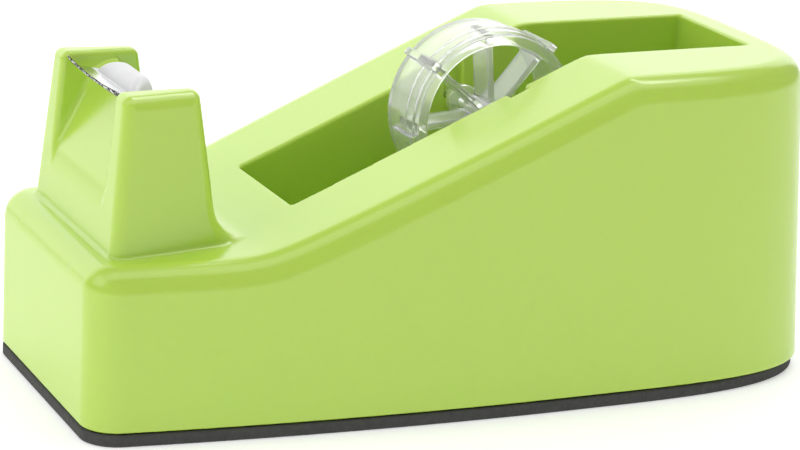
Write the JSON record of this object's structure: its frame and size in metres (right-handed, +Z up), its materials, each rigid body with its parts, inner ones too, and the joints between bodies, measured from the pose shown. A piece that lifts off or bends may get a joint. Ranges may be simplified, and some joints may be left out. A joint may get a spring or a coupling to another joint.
{
  "type": "tape dispenser",
  "caption": "Weighted desktop tape dispenser: a hollow housing with a sloping top, a toothed steel cutter on a front tower, and a clear core wheel on a lift-out axle in an open well.",
  "frame": {"origin": "middle of the pad's underside, where the dispenser rests on a desk", "axes": "+X along the body from the cutter towards the back, +Y across the body along the wheel's axle, +Z up"},
  "size_m": [0.1081, 0.0528, 0.0476],
  "materials": {
    "lime_plastic": "glossy injection-moulded lime-green plastic with a faint moulded mottle",
    "clear_plastic": "colourless clear moulded plastic, polished",
    "blade_steel": "thin bright sheet steel with fine scratches",
    "foam_pad": "matt dark grey foam rubber",
    "grey_plastic": "plain matt grey plastic",
    "cast_weight": "rough as-cast iron",
    "screw_steel": "plated steel"
  },
  "bodies": {
    "housing": {"housing": "lime_plastic", "base_plate": "grey_plastic", "non_slip_pad": "foam_pad", "weight_left": "cast_weight", "weight_right": "cast_weight", "weight_front": "cast_weight", "base_screw_front_left": "screw_steel", "base_screw_front_right": "screw_steel", "base_screw_rear_left": "screw_steel", "base_screw_rear_right": "screw_steel", "cutter_blade": "blade_steel"},
    "axle": {"axle_pin": "clear_plastic"},
    "wheel": {"core_wheel": "clear_plastic"}
  },
  "joints": [
    {"name": "axle_lift", "type": "slide", "parent": "housing", "child": "axle", "axis": [0, 0, 1], "range_m": [0, 0.03]},
    {"name": "wheel_spin", "type": "hinge", "parent": "axle", "child": "wheel", "pos_m": [0.0093, 0, 0.0352], "axis": [0, 1, 0], "continuous": true}
  ]
}
